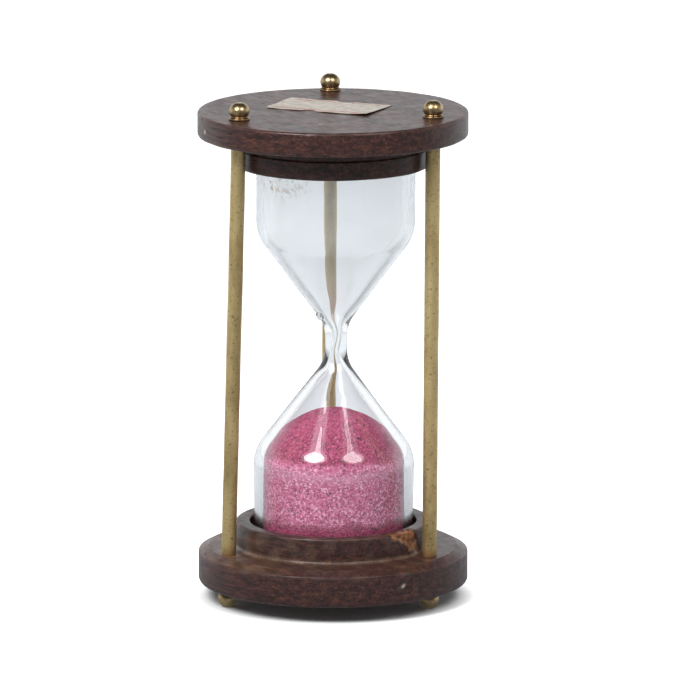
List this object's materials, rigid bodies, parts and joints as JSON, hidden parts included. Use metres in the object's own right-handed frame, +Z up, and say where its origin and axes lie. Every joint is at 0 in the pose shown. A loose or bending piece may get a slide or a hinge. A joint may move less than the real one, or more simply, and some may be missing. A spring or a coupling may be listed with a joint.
{
  "type": "hourglass",
  "caption": "Hourglass with turned dark wood end plates, slim brass rods capped with ball nuts, and a waisted glass vial in which pink sand runs from bulb to bulb.",
  "frame": {"origin": "under the centre of the base plate, on the surface the feet stand on", "axes": "+Z up along the plates' common axis, -Y towards the front, where two of the rods stand, +X to the right seen from the front"},
  "size_m": [0.075, 0.075, 0.1421],
  "materials": {
    "wood": "satin",
    "aged_brass": "satin",
    "polished_brass": "gloss",
    "vial_glass": "gloss",
    "sand": "matte",
    "felt": "matte",
    "paper": "matte"
  },
  "bodies": {
    "frame": {"base_plate": "wood", "top_plate": "wood", "rod_front_left": "aged_brass", "rod_front_right": "aged_brass", "rod_back": "aged_brass", "felt_pad_base": "felt", "felt_pad_top": "felt", "paper_label": "paper", "foot_washer_front_left": "polished_brass", "foot_washer_front_right": "polished_brass", "foot_washer_back": "polished_brass", "foot_front_left": "polished_brass", "foot_front_right": "polished_brass", "foot_back": "polished_brass"},
    "vial": {"glass_vial": "vial_glass", "seal_drop": "vial_glass", "sand": "sand"},
    "finial_washer_front_left": {"finial_washer_front_left": "polished_brass"},
    "finial_front_left": {"finial_front_left": "polished_brass"},
    "finial_washer_front_right": {"finial_washer_front_right": "polished_brass"},
    "finial_front_right": {"finial_front_right": "polished_brass"},
    "finial_washer_back": {"finial_washer_back": "polished_brass"},
    "finial_back": {"finial_back": "polished_brass"}
  },
  "joints": [
    {"name": "vial_turn", "type": "hinge", "parent": "frame", "child": "vial", "pos_m": [0.0005, 0, 0.07209], "axis": [0.0073, 0, 1], "continuous": true},
    {"name": "finial_front_left_rise", "type": "slide", "parent": "frame", "child": "finial_washer_front_left", "axis": [0, 0, 1], "range_m": [0, 0.0018]},
    {"name": "finial_front_left_turn", "type": "hinge", "parent": "finial_washer_front_left", "child": "finial_front_left", "pos_m": [-0.02568, -0.01505, 0.13799], "axis": [0, 0, 1], "range_deg": [0, 1440]},
    {"name": "finial_front_right_rise", "type": "slide", "parent": "frame", "child": "finial_washer_front_right", "axis": [0, 0, 1], "range_m": [0, 0.0018]},
    {"name": "finial_front_right_turn", "type": "hinge", "parent": "finial_washer_front_right", "child": "finial_front_right", "pos_m": [0.02762, -0.01144, 0.13799], "axis": [0, 0, 1], "range_deg": [0, 1440]},
    {"name": "finial_back_rise", "type": "slide", "parent": "frame", "child": "finial_washer_back", "axis": [0, 0, 1], "range_m": [0, 0.0018]},
    {"name": "finial_back_turn", "type": "hinge", "parent": "finial_washer_back", "child": "finial_back", "pos_m": [-0.0008, 0.03309, 0.13799], "axis": [0, 0, 1], "range_deg": [0, 1440]}
  ],
  "couplings": [
    {"joint": "finial_front_left_turn", "follows": "finial_front_left_rise", "rad_per_m": 13963},
    {"joint": "finial_front_right_turn", "follows": "finial_front_right_rise", "rad_per_m": 13963},
    {"joint": "finial_back_turn", "follows": "finial_back_rise", "rad_per_m": 13963}
  ]
}
